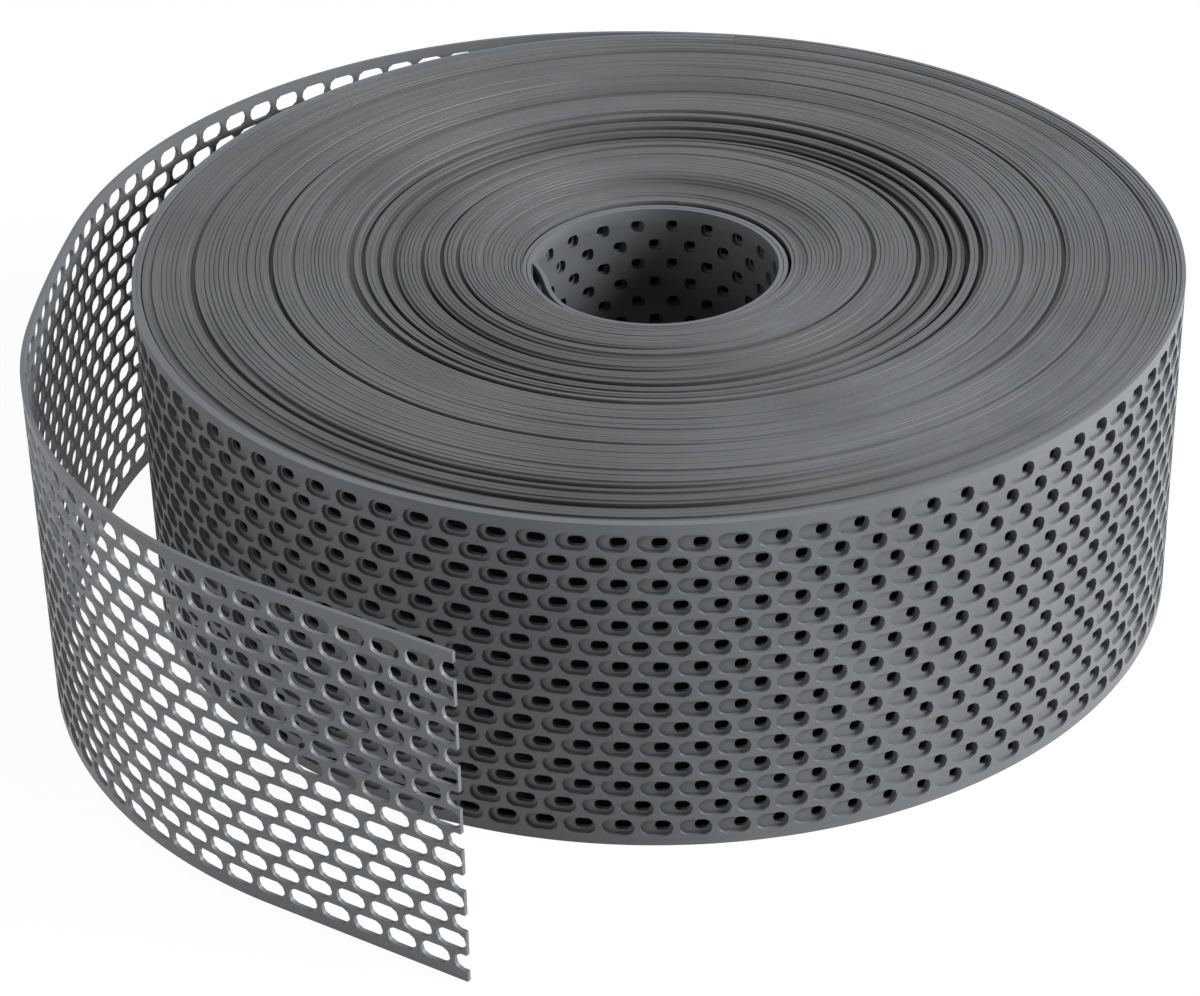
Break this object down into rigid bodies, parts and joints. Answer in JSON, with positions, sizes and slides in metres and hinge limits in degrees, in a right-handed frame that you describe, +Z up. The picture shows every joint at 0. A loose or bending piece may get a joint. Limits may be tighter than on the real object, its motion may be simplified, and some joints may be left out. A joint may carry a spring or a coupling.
{
  "type": "soffit vent strip roll",
  "caption": "Upright roll of dark grey perforated plastic eaves vent strip, wound round an open core, with its loose end swept out beside it.",
  "frame": {"origin": "on the core hole's axis, at the surface that the roll stands on", "axes": "+Z up along the core hole, -Y towards the front where the loose end lies, +X to the right"},
  "size_m": [0.3247, 0.3574, 0.1],
  "materials": {
    "grey_pvc": "satin extruded"
  },
  "bodies": {
    "root": {"vent_strip_roll": "grey_pvc"}
  },
  "joints": []
}
